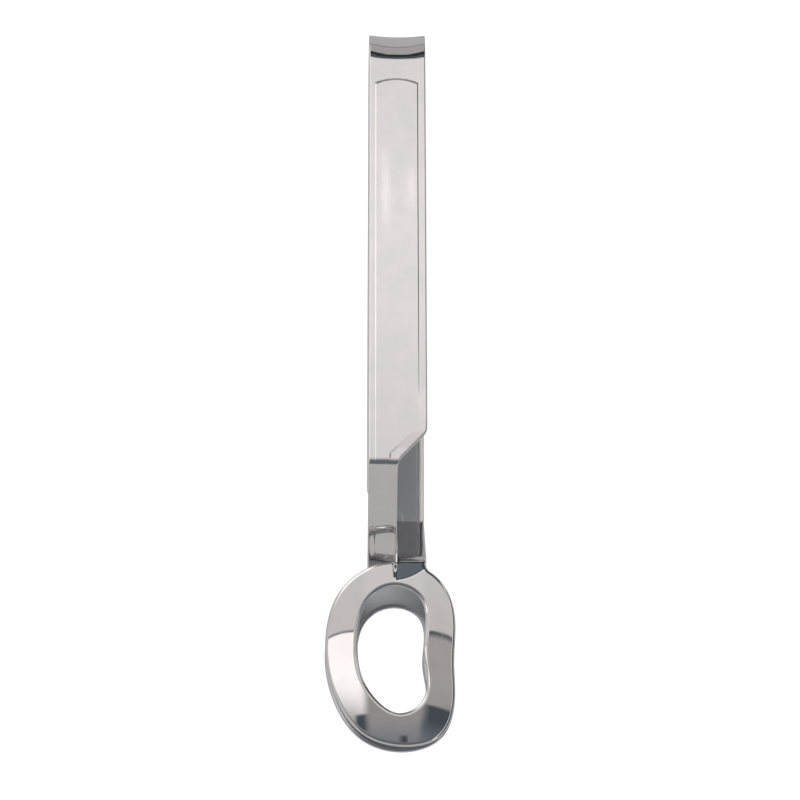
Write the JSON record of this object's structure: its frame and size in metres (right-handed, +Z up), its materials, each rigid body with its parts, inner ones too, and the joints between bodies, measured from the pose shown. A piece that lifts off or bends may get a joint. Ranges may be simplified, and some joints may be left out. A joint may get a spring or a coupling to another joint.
{
  "type": "crossed-arm spring tongs",
  "caption": "Self-closing crossed-arm tongs bent from polished steel strip, with pressed panels on the handles and dished kidney-shaped ring jaws that open when squeezed.",
  "frame": {"origin": "centre of the footprint, on the surface that the tongs lie on", "axes": "+Z up, tongs lying on the lower handle; +Y towards the spring bow, -Y towards the jaws; X across the width"},
  "size_m": [0.0262, 0.1592, 0.0346],
  "materials": {
    "stainless": "polished"
  },
  "bodies": {
    "bow": {"bow": "stainless"},
    "upper_arm": {"upper_handle": "stainless", "upper_neck": "stainless", "lower_jaw": "stainless"},
    "lower_arm": {"lower_handle": "stainless", "lower_neck": "stainless", "upper_jaw": "stainless"}
  },
  "joints": [
    {"name": "upper_squeeze", "type": "hinge", "parent": "bow", "child": "upper_arm", "pos_m": [0.00136, 0.07057, 0.0093], "axis": [1, 0, 0], "range_deg": [0, 7], "stiffness_Nm_per_rad": 2, "springref_deg": -1.72},
    {"name": "lower_squeeze", "type": "hinge", "parent": "bow", "child": "lower_arm", "pos_m": [0.00136, 0.07057, 0.0093], "axis": [-1, 0, 0], "range_deg": [0, 7], "stiffness_Nm_per_rad": 2, "springref_deg": -1.72}
  ],
  "couplings": [
    {"joint": "lower_squeeze", "follows": "upper_squeeze", "ratio": 1}
  ]
}
